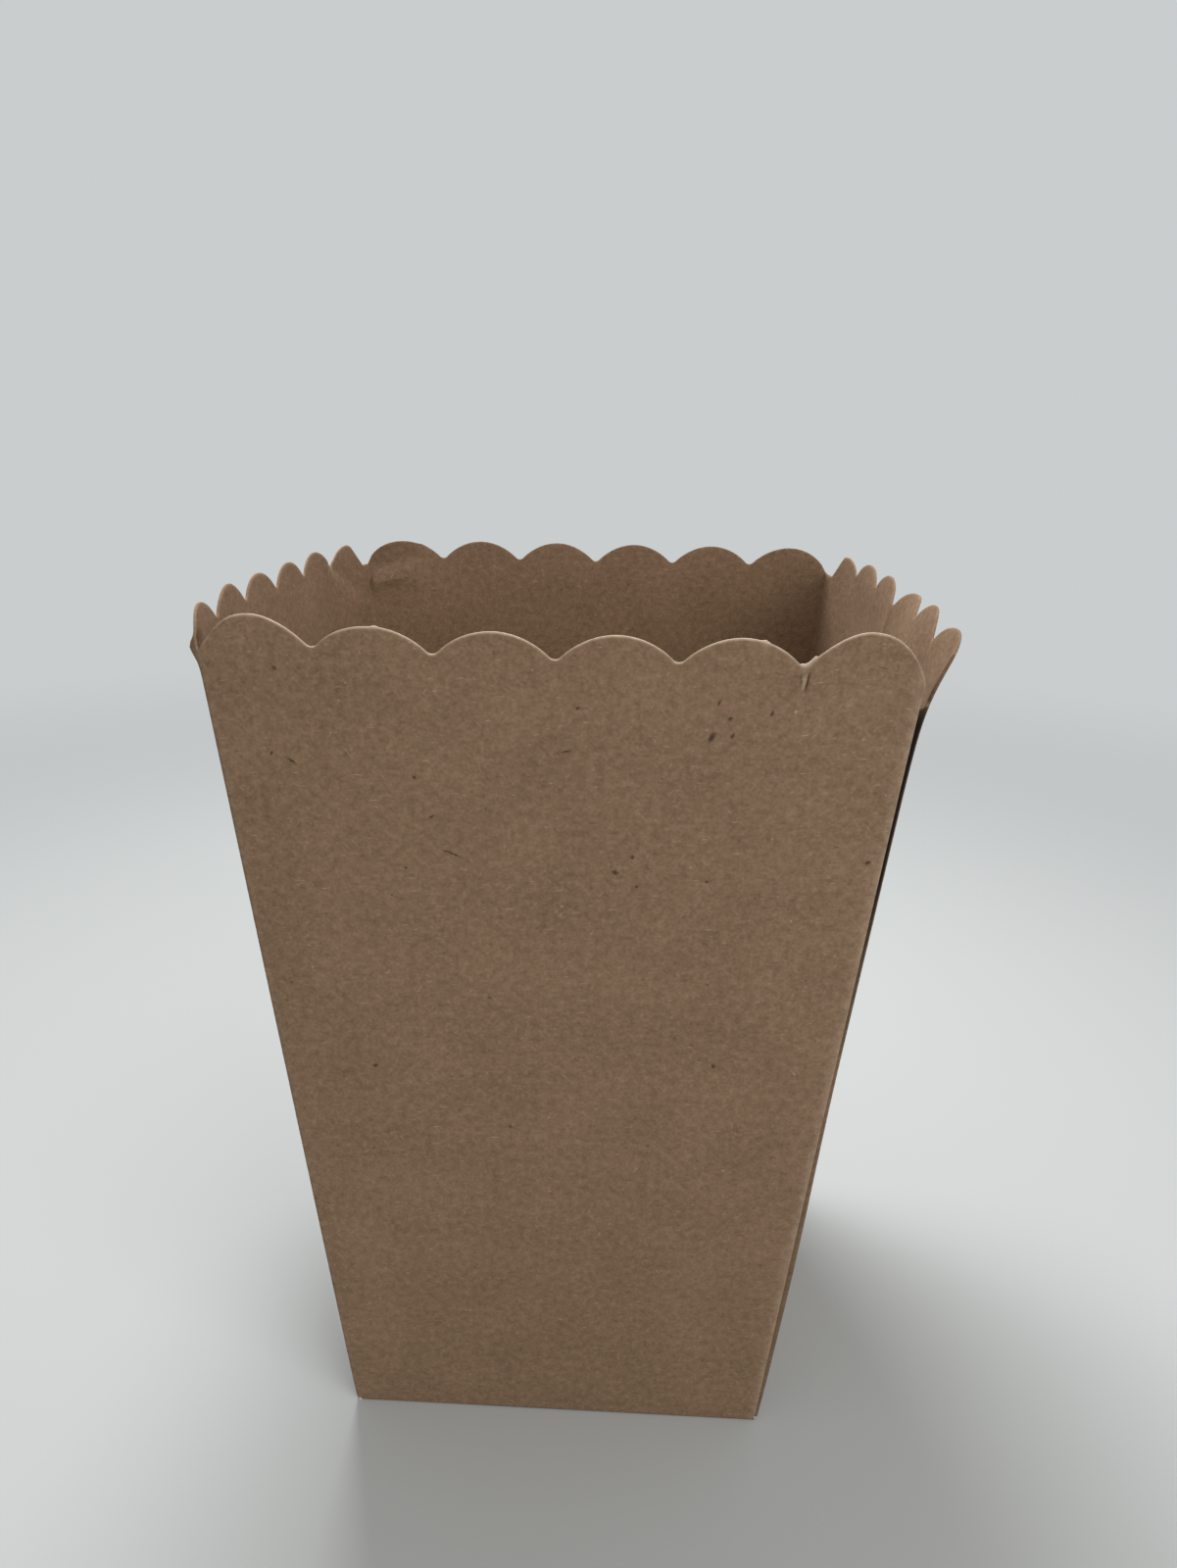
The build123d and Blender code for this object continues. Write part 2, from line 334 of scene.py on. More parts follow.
def made_wall(tree, wall, material):
    """One wall from the tree: its points and their place on the blank, by column and row."""
    columns = columns_per_scallop[wall] * scallops + 1
    values = dict(wall_sizes(wall), Columns=columns, Rows=rows, Board=material)
    holder = bpy.data.objects.new("wall", bpy.data.meshes.new("wall"))
    bpy.context.scene.collection.objects.link(holder)
    bend = holder.modifiers.new("bend", "NODES")
    bend.node_group = tree
    for socket in tree.interface.items_tree:
        if socket.name in values:
            bend[socket.identifier] = values[socket.name]
    mesh = bpy.data.meshes.new_from_object(holder.evaluated_get(bpy.context.evaluated_depsgraph_get()))
    holder.modifiers.remove(bend)
    points = np.zeros(len(mesh.vertices) * 3)
    mesh.vertices.foreach_get("co", points)
    blank = np.zeros(len(mesh.vertices) * 3)
    mesh.attributes["on_blank"].data.foreach_get("vector", blank)
    bpy.data.objects.remove(holder)
    bpy.data.meshes.remove(mesh)
    return points.reshape(columns, rows, 3), blank.reshape(columns, rows, 3)


def line_distance(along, up, start, end):
    """Distance of each point from a stretch of line, and its height over the line's own direction."""
    way = np.subtract(end, start)
    length = math.hypot(*way)
    offset_along = along - start[0]
    offset_up = up - start[1]
    gone = np.clip((offset_along * way[0] + offset_up * way[1]) / length**2, 0, 1)
    distance = np.hypot(offset_along - gone * way[0], offset_up - gone * way[1])
    over = (way[0] * offset_up - way[1] * offset_along) / length * np.sign(way[0])
    return distance, over


def on_wall(table, wall):
    """The rows of a table of marks that lie on this wall, without its name."""
    return [row[1:] for row in table if row[0] == wall]


def sprung_wall(tree, wall, material):
    """A wall as it has sprung and been handled: its points, place on the blank, tones and thickness."""
    points, blank = made_wall(tree, wall, material)
    along, height, share = (blank[:, :, axis] for axis in range(3))
    up = height * slant
    rim = up[:, -1:]
    depth = rim - up

    # The rise of the rim, smooth from each crest to the next trough
    lifts = np.array(rim_lifts[wall])
    turn = share * scallops * 2 - 1
    before = np.clip(np.floor(turn), 0, len(lifts) - 2).astype(int)
    gone = np.clip(turn - before, 0, 1)
    gone = gone * gone * (3 - 2 * gone)
    rise = lifts[before] * (1 - gone) + lifts[before + 1] * gone
    rise *= height**lift_power * (1 - (2 * share - 1) ** fold_power)

    # Dents, creases and leaning tips push the board out or in
    out = np.zeros(along.shape)
    tone = np.zeros(along.shape)
    for place, half, push in on_wall(dents, wall):
        out += push * np.exp(-(((along - place[0]) / half[0]) ** 2) - ((up - place[1]) / half[1]) ** 2)
    for start, end, half, push, shade in on_wall(creases, wall):
        profile = np.exp(-((line_distance(along, up, start, end)[0] / half) ** 2))
        out += push * profile
        # A crease's tone: painted shade where dark, rubbing and painted highlight where pale
        tone += shade * profile
    for start, end, lean in on_wall(leaning_tips, wall):
        over = np.maximum(line_distance(along, up, start, end)[1], 0)
        clear = np.clip((np.abs(along).max(axis=0) - np.abs(along)) / lean_clearance, 0, 1)
        out -= lean * over * clear * (along > end[0])

    # The cut edge: scraps that the die left, the front's last scallop, which runs down to the seam, and trims
    for first, last, step, slope, shade in on_wall(scraps, wall):
        inside = (along > first) & (along < last)
        near = np.exp(-depth / scrap_depth) * inside
        rise += near * (step + slope * (along - first))
        tone += shade * near
    near = np.exp(-depth / end_depth)
    if wall == "front":
        rise -= end_run_down * np.clip((share - 1) * scallops * 2 + 1, 0, 1) ** end_power * near
    for end, way, slope in on_wall(trims, wall):
        over = rim - slant - slope * np.maximum(np.abs(along - along[end]) - way, 0)
        inside = np.abs(share - share[end]) < 0.5 / scallops
        rise -= trim_round * np.log1p(np.exp(over / trim_round)) * inside * near

    # Cut edges are thinner and paler where the die rubbed them; their paleness grows where they face up, and
    # that part is a painted highlight of the light from above
    steepness = (np.gradient(rim[:, 0]) / np.gradient(along[:, -1]))[:, None]
    edge = depth / np.hypot(1, steepness)
    tone += edge_paleness_and_highlight[wall] * np.exp(-((edge / edge_pale_reach) ** 2)) / (1 + steepness**2)
    inner_tone = tone.copy()
    if wall == "front":
        # The front's bare edge is painted lighter over its last bit: partly rubbed, partly a painted
        # highlight where it catches the light
        bare = along[-1] - along
        tone += bare_tone * np.exp(-((bare / bare_pale_reach) ** 2))
        edge = np.minimum(edge, bare)
    if wall == "right":
        # Painted shade on the inner face of the free edge, just over the glue flap
        over_flap = np.maximum(up - up[:, [rows - 1 - glue_top_rows]], 0) / seam_shade_reach[1]
        from_edge = (along - along[0]) / seam_shade_reach[0]
        inner_tone += seam_shade * np.exp(-(over_flap**2) - from_edge**2)
    thickness = 1 - edge_thin_share * np.exp(-edge / edge_thin_reach)

    points[:, :, 1] -= out + rise * wall_run / slant
    points[:, :, 2] += rise * wall_rise / slant
    turn = Matrix.Rotation(math.pi / 2 * quarter_turns[wall], 3, "Z")
    placed = points @ np.array(turn).T
    for name, weight in zip(corners[wall], (1 - share, share)):
        at_rim = weight * height**shift_power
        placed += at_rim[:, :, None] * rim_shifts[name]
        placed += (weight - at_rim)[:, :, None] * foot_shifts[name]
    return {"points": placed, "blank": blank, "tone": tone, "inner_tone": inner_tone, "thickness": thickness}


def outward(points):
    """Unit normals of a grid of points, pointing out of the cup."""
    normal = np.cross(np.gradient(points, axis=0), np.gradient(points, axis=1))
    return normal / np.linalg.norm(normal, axis=2, keepdims=True)


kraft = bpy.data.materials.new("kraft_board_uncoated")
cut_edge = bpy.data.materials.new("kraft_board_cut_edge")
wall_tree = bent_wall_tree()
sprung = {wall: sprung_wall(wall_tree, wall, kraft) for wall in walls}

# The sheet's vertices, with their place on the flat blank, tone and thickness, and its faces
spots = []
flat_spots = []
tones = []
inner_tones = []
thicknesses = []
faces = []
blank_step = 100.0


def add_line(points, flat_points, tone, inner_tone, thickness):
    """Adds a line of vertices, with the tones of the board's two faces there, and gives their numbers."""
    first = len(spots)
    spots.extend(points)
    flat_spots.extend(flat_points)
    tones.extend(np.broadcast_to(tone, len(points)))
    inner_tones.extend(np.broadcast_to(inner_tone, len(points)))
    thicknesses.extend(np.broadcast_to(thickness, len(points)))
    return list(range(first, len(spots)))


def add_band(first, second):
    """Faces between two neighbouring lines of vertices, the second on the right seen from outside."""
    for low in range(len(first) - 1):
        faces.append((first[low], second[low], second[low + 1], first[low + 1]))


def flat_line(wall, column):
    """A column's place on the blank."""
    lie = sprung[wall]["blank"][column]
    return np.stack([lie[:, 0] + blank_step * walls.index(wall), lie[:, 1] * slant], axis=1)


def first_clear(wall, room):
    """The first column that is further than this from the wall's first fold, at the foot."""
    along = sprung[wall]["blank"][:, 0, 0]
    return int(np.argmax(along > along[0] + room))


def rounded_fold(before, corner, after):
    """Lines of points round a fold, from the lines before it, on it and after it."""
    back = before - corner
    ahead = after - corner
    back *= fold_reach / np.linalg.norm(back, axis=1, keepdims=True)
    ahead *= fold_reach / np.linalg.norm(ahead, axis=1, keepdims=True)
    for step in range(fold_steps):
        share = step / (fold_steps - 1)
        yield corner + (1 - share) ** 2 * back + share**2 * ahead


# The walls, from the right one's front fold round to the front wall's bare edge
fold_tone = 0.05
lines = {wall: [] for wall in walls}
previous = None
for number, wall in enumerate(walls):
    grid = sprung[wall]["points"]
    start = first_clear(wall, fold_room if number else seam_room)
    end = len(grid) - 1 - (0 if wall == "front" else first_clear(wall, fold_room))
    if number:
        before = sprung[walls[number - 1]]["points"]
        kept = before[-1 - first_clear(walls[number - 1], fold_room)]
        for points in rounded_fold(kept, grid[0], grid[start]):
            inner_tone = sprung[wall]["inner_tone"][0]
            rubbed = np.maximum(sprung[wall]["tone"][0], fold_tone)
            line = add_line(points, flat_line(wall, 0), rubbed, inner_tone, sprung[wall]["thickness"][0])
            add_band(previous, line)
            previous = line
    for column in range(start, end + 1):
        marks = (sprung[wall][kind][column] for kind in ("tone", "inner_tone", "thickness"))
        line = add_line(grid[column], flat_line(wall, column), *marks)
        if previous:
            add_band(previous, line)
        previous = line
        lines[wall].append((column, line))

# The glue flap, from behind the front wall to the right wall's front fold. What shows of it in the seam's
# groove is painted near-black as the groove's shade, less so near its upper end and low down.
groove_painted_shade = (-1.0, -1.0, -0.95, -0.75, -0.3)
groove_top_share = 0.85
groove_fade = 1.4
groove_low_share = 0.3
groove_low_from = 90.0
groove_low_to = 62.0
front_grid = sprung["front"]["points"]
front_out = outward(front_grid)
high = rows - 1 - glue_top_rows
flap_up = sprung["right"]["blank"][0, :high + 1, 1] * slant
groove_shade_strength = np.interp(flap_up[-1] - flap_up, (0, groove_fade), (groove_top_share, 1))
groove_shade_strength *= np.interp(flap_up, (groove_low_to, groove_low_from), (groove_low_share, 1))
flap_lines = []
for step in range(glue_columns, 0, -1):
    gone = glue_width * step / glue_columns
    column = (1 - gone / (2 * half_rim)) * (len(front_grid) - 1)
    low = int(column)
    part = column - low
    line = (1 - part) * front_grid[low] + part * front_grid[low + 1]
    line = line - front_out[low] * seam_step
    at = np.linspace(0, high - glue_taper * step / glue_columns, high + 1)
    inside = np.stack([np.interp(at, range(rows), line[:, axis]) for axis in range(3)], axis=1)
    flat_points = np.stack([np.full(high + 1, -gone - half_rim), at / rows * slant], axis=1)
    flap_lines.append((inside, flat_points, groove_shade_strength * groove_painted_shade[0] if step == 1 else 0.0))
right_grid = sprung["right"]["points"]
right_first = right_grid[lines["right"][0][0]][:high + 1]
right_edge = right_grid[0][:high + 1]
set_back = right_first - right_edge
set_back = right_edge + set_back * seam_step / np.linalg.norm(set_back, axis=1, keepdims=True)
for points, tone in zip(rounded_fold(flap_lines[-1][0], set_back, right_first), groove_painted_shade):
    flap_lines.append((points, flat_line("right", 0)[:high + 1], groove_shade_strength * tone))
previous = None
for points, flat_points, tone in flap_lines:
    points[0, 2] = glue_foot
    line = add_line(points, flat_points, tone, tone, 1.0)
    if previous:
        add_band(previous, line)
    previous = line
add_band(previous, lines["right"][0][1][:high + 1])

# The base flaps. Each is given by its depth at distances along the fold, by its height at depths, by whether
# its two halves are alike, and by the sense in which it runs along the fold.
layer = 0.5
fold_radius = 0.4
fold_arc = 4
flap_rows = 16
lock_outline = (
    (0, 47), (9, 47), (11, 46.7), (13, 45.5), (14.2, 44), (15, 41), (15.2, 26), (23.2, 26), (26.2, 3.6),
    (28.4, 1.7), (29.8, 1.5),
)
lock_climb = ((0.6, 0), (25.5, 0), (31, 3 * layer), (47, 3 * layer))
notch_outline = (
    (0, 28), (13, 28), (15, 29), (15.9, 31), (16.1, 41), (17, 42.4), (19, 43), (24.5, 43), (26.5, 42),
    (27.3, 40), (29.2, 4.6),
)
notch_climb = ((0.6, 0), (4.6, 2 * layer), (43, 2 * layer))
side_outline = (
    (-29.3, 0.75), (-28, 1.2), (-25.5, 2.6), (-6.9, 14), (0.9, 14), (1.1, 27.2), (1.7, 28.7), (3.1, 29.2),
    (15, 29.2), (16.6, 28.4), (24.6, 2.6), (28, 1.2), (29.3, 0.75),
)
side_climb = ((0.6, 0), (2.6, layer), (30, layer))
flaps = {
    "front": (lock_outline, lock_climb, True, 1), "back": (notch_outline, notch_climb, True, 1),
    "right": (side_outline, side_climb, False, 1), "left": (side_outline, side_climb, False, -1),
}

bend = np.linspace(0, math.pi / 2, fold_arc + 1)[1:]
for wall in walls:
    outline, climb, even, sense = flaps[wall]
    reach_at, reach = zip(*outline)
    climb_at, climb_to = zip(*climb)
    first, last = (np.array(foot_shifts[name]) for name in corners[wall])
    turn = np.array(Matrix.Rotation(math.pi / 2 * quarter_turns[wall], 3, "Z"))
    previous = None
    for column, line in lines[wall]:
        across, _, share = sprung[wall]["blank"][column, 0]
        along = sense * across
        along = abs(along) if even else along
        if not reach_at[0] <= along <= reach_at[-1]:
            continue
        depth = np.interp(along, reach_at, reach)
        flat_in = np.linspace(foot_height, depth, flap_rows)[1:]
        inward = np.concatenate([board / 2 + fold_radius * (1 - np.cos(bend)), flat_in])
        climbed = board / 2 + np.interp(flat_in, climb_at, climb_to)
        rise = np.concatenate([foot_height - fold_radius * np.sin(bend), climbed])
        beside = np.full(len(inward), across)
        local = np.stack([beside, inward - half_base - board / 2, rise], axis=1)
        flat_points = np.stack([beside + blank_step * walls.index(wall), -inward], axis=1)
        placed = local @ turn.T + (1 - share) * first + share * last
        down = [line[0]] + add_line(placed, flat_points, 0.0, 0.0, 1.0)
        down.reverse()
        if previous:
            add_band(previous, down)
        previous = down

# The sheet gets its thickness, thinner at the cut edges, and its two faces' tones
sharp_angle = 40
mesh = bpy.data.meshes.new("popcorn_cup_sheet")
mesh.from_pydata([tuple(p) for p in np.array(spots) * MM], [], faces)
uv = mesh.uv_layers.new(name="blank")
corner_vertex = np.zeros(len(mesh.loops), int)
mesh.loops.foreach_get("vertex_index", corner_vertex)
uv.data.foreach_set("uv", np.array(flat_spots)[corner_vertex].ravel())
mesh.attributes.new("tone", "FLOAT", "POINT")
mesh.materials.append(kraft)
mesh.materials.append(cut_edge)
mesh.shade_smooth()
sheet = bpy.data.objects.new("sheet", mesh)
bpy.context.scene.collection.objects.link(sheet)
thinned = sheet.vertex_groups.new(name="thickness")
for number, thickness in enumerate(thicknesses):
    thinned.add([number], thickness, "REPLACE")
thick = sheet.modifiers.new("board", "SOLIDIFY")
thick.thickness = board * MM
thick.offset = 0
thick.use_even_offset = True
thick.material_offset_rim = 1
thick.vertex_group = "thickness"
cup_mesh = bpy.data.meshes.new_from_object(sheet.evaluated_get(bpy.context.evaluated_depsgraph_get()))
bpy.data.objects.remove(sheet)
both_faces = np.array(tones + inner_tones, dtype=np.float32)
cup_mesh.attributes["tone"].data.foreach_set("value", both_faces)
# Nothing of it sinks into the floor
resting = np.zeros(len(cup_mesh.vertices) * 3)
cup_mesh.vertices.foreach_get("co", resting)
resting[2::3] = np.maximum(resting[2::3], 0)
cup_mesh.vertices.foreach_set("co", resting)
cup_mesh.set_sharp_from_angle(angle=math.radians(sharp_angle))
cup = bpy.data.objects.new("popcorn_cup_folded", cup_mesh)
bpy.context.scene.collection.objects.link(cup)

# Flecks seen on the front: along and up the wall, length, width, turn in degrees
front_flecks = (
    (17.7, 108.9, 1.4, 0.7, 65), (19.65, 111.2, 0.6, 0.5, 40), (20.0, 109.1, 0.8, 0.4, 70),
    (18.3, 113.1, 0.8, 0.35, 75), (24.2, 112.0, 0.8, 0.45, 60), (2.6, 112.0, 0.55, 0.35, 50),
    (1.3, 106.7, 1.1, 0.28, 10), (9.2, 93.3, 0.6, 0.5, 70), (7.2, 91.1, 0.9, 0.65, 160),
    (9.8, 89.3, 0.5, 0.4, 0), (18.1, 90.3, 0.45, 0.3, 0), (36.8, 93.0, 0.8, 0.45, 30),
    (-33.1, 104.2, 0.6, 0.35, 60), (-30.7, 103.4, 1.2, 0.35, 150), (-16.3, 102.6, 0.5, 0.4, 0),
    (-14.5, 97.6, 0.9, 0.35, 35), (-12.2, 92.8, 2.4, 0.28, 158), (-17.9, 90.6, 0.4, 0.35, 0),
    (-23.3, 61.3, 0.9, 0.55, 20), (20.3, 63.6, 0.8, 0.55, 110),
)
board_gloss = 0.12


def toned(tree, shaded, rubbing_and_highlight):
    """A colour of the board with the sheet's tones: pale tones are rubbing and painted highlight, dark tones
    are painted shade in the seam's groove and in crease lines.
    """
    marked = node(tree, "ShaderNodeAttribute", attribute_name="tone").outputs["Fac"]
    paler = node(tree, "ShaderNodeMath", {0: marked, 1: rubbing_and_highlight}, operation="MULTIPLY", use_clamp=True)
    painted_shade = node(tree, "ShaderNodeMath", {0: marked, 1: -1.0}, operation="MULTIPLY", use_clamp=True)
    # The pale colour is rubbing and painted highlight, the near-black one is painted shade
    for factor, code in ((paler, "#BFAC98"), (painted_shade, "#140D08")):
        inputs = {"Factor": factor, MIX_A: shaded, MIX_B: colour(code)}
        shaded = node(tree, "ShaderNodeMix", inputs, data_type="RGBA").outputs[MIX_RESULT]
    return shaded


def kraft_board(material):
    """Uncoated kraft board, pressed from unbleached pulp: a dull warm brown that is mottled and full of short
    fibres lying every way, with dark and pale specks of bark and waste. Its cut edges and folds rub paler,
    and the sheet's tones add painted highlights and painted shade."""
    material.use_nodes = True
    tree = material.node_tree
    tree.nodes.clear()
    blank = node(tree, "ShaderNodeUVMap", uv_map="blank")

    # The pulp's clouds, mottle and grain, by their size and their share in the tone
    cloud_size = 9.0
    mottle_size = 1.1
    grain_size = 0.42
    cloud_share = 0.24
    mottle_share = 0.54
    grain_share = 0.5
    tone_shift = -0.14
    clouds = node(tree, "ShaderNodeTexNoise", {"Vector": blank, "Scale": 1 / cloud_size, "Detail": 2.0})
    mottle = node(tree, "ShaderNodeTexNoise", {"Vector": blank, "Scale": 1 / mottle_size, "Detail": 2.0})
    grain = node(tree, "ShaderNodeTexNoise", {"Vector": blank, "Scale": 1 / grain_size, "Detail": 1.0})
    tone = node(tree, "ShaderNodeMath", {0: clouds, 1: cloud_share, 2: tone_shift}, operation="MULTIPLY_ADD")
    tone = node(tree, "ShaderNodeMath", {0: mottle, 1: mottle_share, 2: tone}, operation="MULTIPLY_ADD")
    tone = node(tree, "ShaderNodeMath", {0: grain, 1: grain_share, 2: tone}, operation="MULTIPLY_ADD")
    inputs = {"Factor": tone, MIX_A: colour("#4E3B2A"), MIX_B: colour("#9E836A")}
    shaded = node(tree, "ShaderNodeMix", inputs, data_type="RGBA").outputs[MIX_RESULT]

    # Fibres, drawn several times as wide as they are so that they show: turn in degrees, the noise over which
    # they show, colour, strength
    fibre_length = 1.6
    fibre_width = 0.18
    fibre_bend = 0.4
    fibre_softness = 0.08
    fibre_relief = 0.5
    fibre_shift = 10
    relief_height = tone
    for turn, limit, code, strength in (
        (4, 0.7, "#B9A692", 0.5), (128, 0.72, "#B9A692", 0.45), (58, 0.72, "#B9A692", 0.45),
        (-12, 0.7, "#402D1F", 0.5), (84, 0.72, "#402D1F", 0.45),
    ):
        lie = node(
            tree, "ShaderNodeMapping",
            {"Vector": blank, "Location": (turn, limit * fibre_shift, 0),
             "Rotation": (0, 0, math.radians(turn)), "Scale": (fibre_length, fibre_width, 1)},
            vector_type="TEXTURE",
        )
        strands = node(
            tree, "ShaderNodeTexNoise",
            {"Vector": lie, "Scale": 1.0, "Detail": 1.0, "Distortion": fibre_bend},
        )
        shown = node(
            tree, "ShaderNodeMapRange",
            {"Value": strands, "From Min": limit, "From Max": limit + fibre_softness, "To Max": strength},
        )
        inputs = {"Factor": shown, MIX_A: shaded, MIX_B: colour(code)}
        shaded = node(tree, "ShaderNodeMix", inputs, data_type="RGBA").outputs[MIX_RESULT]
        inputs = {0: shown, 1: fibre_relief, 2: relief_height}
        relief_height = node(tree, "ShaderNodeMath", inputs, operation="MULTIPLY_ADD")

    # Specks in some of the cells of a scattered net: colour, the net's spacing, size, share of empty cells,
    # shift of the net, strength
    speck_raggedness = 0.3
    speck_softness = 0.3
    ragged = node(tree, "ShaderNodeTexNoise", {"Vector": blank, "Scale": 1 / speck_raggedness, "Detail": 1.0})
    inputs = {0: ragged.outputs["Color"], 1: (speck_raggedness,) * 3, 2: blank}
    ragged = node(tree, "ShaderNodeVectorMath", inputs, operation="MULTIPLY_ADD")
    for code, spacing, size, empty, shift, strength in (
        ("#3F2D1F", 6.5, 0.32, 0.5, 11.0, 0.65), ("#C4AE93", 6.5, 0.26, 0.66, 37.0, 0.6),
        ("#463222", 2.3, 0.24, 0.45, 53.0, 0.5), ("#BFA98D", 3.1, 0.2, 0.55, 71.0, 0.45),
    ):
        moved = node(tree, "ShaderNodeVectorMath", {0: ragged, 1: (shift, shift / 2, 0)}, operation="ADD")
        cells = node(tree, "ShaderNodeTexVoronoi", {"Vector": moved, "Scale": 1 / spacing})
        chance = node(tree, "ShaderNodeSeparateColor", {0: cells.outputs["Color"]})
        reach = node(
            tree, "ShaderNodeMapRange",
            {"Value": chance, "From Min": empty, "From Max": 1.0, "To Min": 0.0, "To Max": size / spacing},
        )
        inside = node(tree, "ShaderNodeMath", {0: reach, 1: cells.outputs["Distance"]}, operation="SUBTRACT")
        shown = node(
            tree, "ShaderNodeMapRange",
            {"Value": inside, "From Min": 0.0, "From Max": speck_softness * size / spacing,
             "To Max": strength},
        )
        inputs = {"Factor": shown, MIX_A: shaded, MIX_B: colour(code)}
        shaded = node(tree, "ShaderNodeMix", inputs, data_type="RGBA").outputs[MIX_RESULT]

    # The larger flecks of the front, each a ragged ellipse that fades from its core to its edge
    fleck_core = 0.4
    fleck_edge = 1.3
    fleck_strength = 0.8
    front_start = blank_step * walls.index("front")
    ragged_half = speck_raggedness / 2
    flecks = None
    for along, up, length, width, turn in front_flecks:
        place = (along + front_start + ragged_half, up + ragged_half, ragged_half)
        lie = node(
            tree, "ShaderNodeMapping",
            {"Vector": ragged, "Location": place, "Rotation": (0, 0, math.radians(turn)),
             "Scale": (length / 2, width / 2, 1)},
            vector_type="TEXTURE",
        )
        flat = node(tree, "ShaderNodeVectorMath", {0: lie, 1: (1, 1, 0)}, operation="MULTIPLY")
        away = node(tree, "ShaderNodeVectorMath", {0: flat}, operation="LENGTH").outputs["Value"]
        shown = node(
            tree, "ShaderNodeMapRange",
            {"Value": away, "From Min": fleck_edge, "From Max": fleck_core, "To Max": fleck_strength},
        )
        flecks = node(tree, "ShaderNodeMath", {0: shown, 1: flecks}, operation="MAXIMUM") if flecks else shown
    inputs = {"Factor": flecks, MIX_A: shaded, MIX_B: colour("#35251A")}
    shaded = node(tree, "ShaderNodeMix", inputs, data_type="RGBA").outputs[MIX_RESULT]

    # The pale tones, rubbing and painted highlight alike, are as uneven as the mottle, and the paler pulp is
    # a little less rough
    usual_low = 0.3
    usual_high = 0.7
    rubbed_least = 0.7
    rubbed_most = 1.2
    roughness_dark = 0.95
    roughness_pale = 0.82
    relief = 0.05
    relief_strength = 0.35
    usual = {"From Min": usual_low, "From Max": usual_high}
    rubbing_and_highlight = node(
        tree, "ShaderNodeMapRange",
        {"Value": mottle, **usual, "To Min": rubbed_least, "To Max": rubbed_most},
    )
    roughness = node(
        tree, "ShaderNodeMapRange",
        {"Value": tone, **usual, "To Min": roughness_dark, "To Max": roughness_pale},
    )
    bump = node(
        tree, "ShaderNodeBump",
        {"Strength": relief_strength, "Distance": relief * MM, "Height": relief_height},
    )
    shader = node(
        tree, "ShaderNodeBsdfPrincipled",
        {"Base Color": toned(tree, shaded, rubbing_and_highlight), "Roughness": roughness, "Normal": bump,
         "Specular IOR Level": board_gloss},
    )
    node(tree, "ShaderNodeOutputMaterial", {"Surface": shader})


def board_edge(material):
    """The board's cut edge: pulp layers crushed by the die, rougher than the face and paler where rubbed,
    with the sheet's painted highlight where it faces up and painted shade in the seam's groove.
    """
    fibre_size = 0.35
    relief = 0.08
    relief_strength = 0.5
    roughness = 0.95
    material.use_nodes = True
    tree = material.node_tree
    tree.nodes.clear()
    blank = node(tree, "ShaderNodeUVMap", uv_map="blank")
    torn = node(tree, "ShaderNodeTexNoise", {"Vector": blank, "Scale": 1 / fibre_size, "Detail": 3.0})
    inputs = {"Factor": torn, MIX_A: colour("#5F4935"), MIX_B: colour("#8E745B")}
    shaded = node(tree, "ShaderNodeMix", inputs, data_type="RGBA").outputs[MIX_RESULT]
    bump = node(
        tree, "ShaderNodeBump", {"Strength": relief_strength, "Distance": relief * MM, "Height": torn},
    )
    shader = node(
        tree, "ShaderNodeBsdfPrincipled",
        {"Base Color": toned(tree, shaded, 1.0), "Roughness": roughness, "Normal": bump,
         "Specular IOR Level": board_gloss},
    )
    node(tree, "ShaderNodeOutputMaterial", {"Surface": shader})


kraft_board(kraft)
board_edge(cut_edge)

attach(cup, "root")
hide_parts("popcorn_cup")

# The stage: a pale floor that fades into the same pale background all round. From here on, sizes are in
# metres.
backdrop = colour("#C9CDCE")
floor_half = 4.0
fade_from = 0.1
fade_to = 0.55


def looked_along(tree):
    """1 for rays from the camera, off gloss or through glass, which see the backdrop, and 0 for others."""
    path = node(tree, "ShaderNodeLightPath").outputs
    inputs = {0: path["Is Camera Ray"], 1: path["Is Glossy Ray"]}
    looked = node(tree, "ShaderNodeMath", inputs, operation="MAXIMUM")
    return node(tree, "ShaderNodeMath", {0: looked, 1: path["Is Transmission Ray"]}, operation="MAXIMUM")


floor_mesh = bpy.data.meshes.new("floor")
floor_corners = [
    (-floor_half, -floor_half), (floor_half, -floor_half),
    (floor_half, floor_half), (-floor_half, floor_half),
]
floor_mesh.from_pydata([(x, y, 0) for x, y in floor_corners], [], [(0, 1, 2, 3)])
floor = bpy.data.objects.new("floor", floor_mesh)
bpy.context.scene.collection.objects.link(floor)
# Matt pale paper, rolled smooth: an even light grey without gloss, which takes a soft shadow
paper = bpy.data.materials.new("matt_pale_paper")
paper.use_nodes = True
laid = paper.node_tree
laid.nodes.clear()
place = node(laid, "ShaderNodeTexCoord").outputs["Object"]
away = node(laid, "ShaderNodeVectorMath", {0: place}, operation="LENGTH").outputs["Value"]
fade = node(
    laid, "ShaderNodeMapRange", {"Value": away, "From Min": fade_from, "From Max": fade_to},
    interpolation_type="SMOOTHSTEP",
)
faded = node(laid, "ShaderNodeMath", {0: fade, 1: looked_along(laid)}, operation="MULTIPLY")
matt = node(laid, "ShaderNodeBsdfDiffuse", {"Color": colour("#B2B6B7")})
glow = node(laid, "ShaderNodeEmission", {"Color": backdrop})
both = node(laid, "ShaderNodeMixShader", {0: faded, 1: matt, 2: glow})
node(laid, "ShaderNodeOutputMaterial", {"Surface": both})
floor_mesh.materials.append(paper)

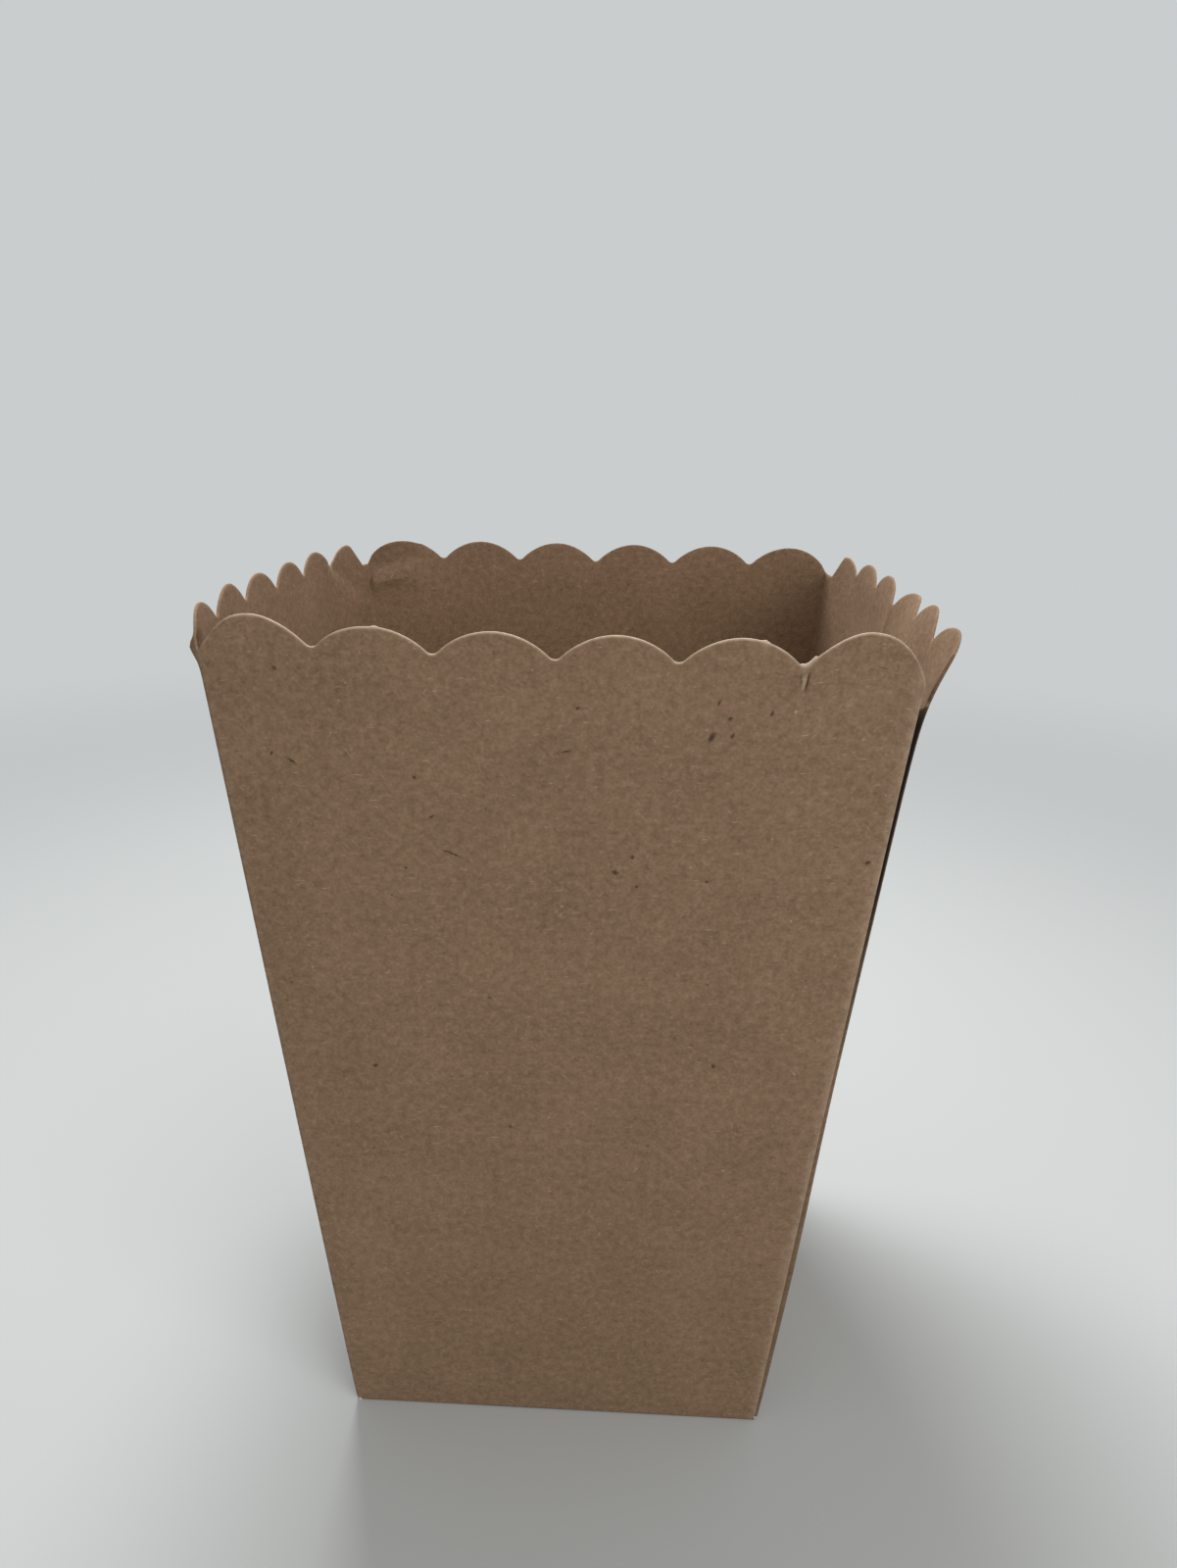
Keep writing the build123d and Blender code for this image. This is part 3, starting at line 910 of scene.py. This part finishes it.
# Soft light from all round, and the same background
world_strength = 0.52
world = bpy.data.worlds.new("studio")
bpy.context.scene.world = world
world.use_nodes = True
sky = world.node_tree
sky.nodes.clear()
soft = node(sky, "ShaderNodeBackground", {"Color": colour("#FFFAF4"), "Strength": world_strength})
seen = node(sky, "ShaderNodeBackground", {"Color": backdrop})
both = node(sky, "ShaderNodeMixShader", {0: looked_along(sky), 1: soft, 2: seen})
node(sky, "ShaderNodeOutputWorld", {"Surface": both})

# Softboxes: name, place, side and power in watts, all turned to the cup's upper half
aim = Vector((0, 0, 0.08))
softboxes = (
    ("softbox_front_right", (0.34, -0.42, 0.32), 0.4, 2.0),
    ("softbox_over_mouth", (-0.06, 0.17, 0.4), 0.16, 1.9),
)
for name, place, side, power in softboxes:
    lamp = bpy.data.lights.new(name, "AREA")
    lamp.shape = "SQUARE"
    lamp.size = side
    lamp.energy = power
    softbox = bpy.data.objects.new(name, lamp)
    bpy.context.scene.collection.objects.link(softbox)
    softbox.location = place
    softbox.rotation_euler = (aim - softbox.location).to_track_quat("-Z", "Y").to_euler()

# The camera, fitted to the photograph's frame of 1201 by 1600
frame_height = 1600
focal_pixels = 1222.8
camera_place = Vector((10.6, -173.2, 144.9)) * MM
yaw, pitch, roll = (math.radians(angle) for angle in (-2.94, 17.8, 1.01))
ahead = Vector((math.sin(yaw), math.cos(yaw), 0))
right = Vector((math.cos(yaw), -math.sin(yaw), 0))
up = Vector((0, 0, 1))
looking = ahead * math.cos(pitch) - up * math.sin(pitch)
top = ahead * math.sin(pitch) + up * math.cos(pitch)
side = right * math.cos(roll) + top * math.sin(roll)
top = top * math.cos(roll) - right * math.sin(roll)
lens = bpy.data.cameras.new("camera")
lens.sensor_fit = "AUTO"
lens.sensor_width = 36.0
lens.lens = lens.sensor_width * focal_pixels / frame_height
lens.clip_start = 0.01
camera = bpy.data.objects.new("camera", lens)
bpy.context.scene.collection.objects.link(camera)
camera.matrix_world = Matrix.Translation(camera_place) @ Matrix((side, top, -looking)).transposed().to_4x4()
bpy.context.scene.camera = camera
bpy.context.scene.view_settings.view_transform = "Standard"
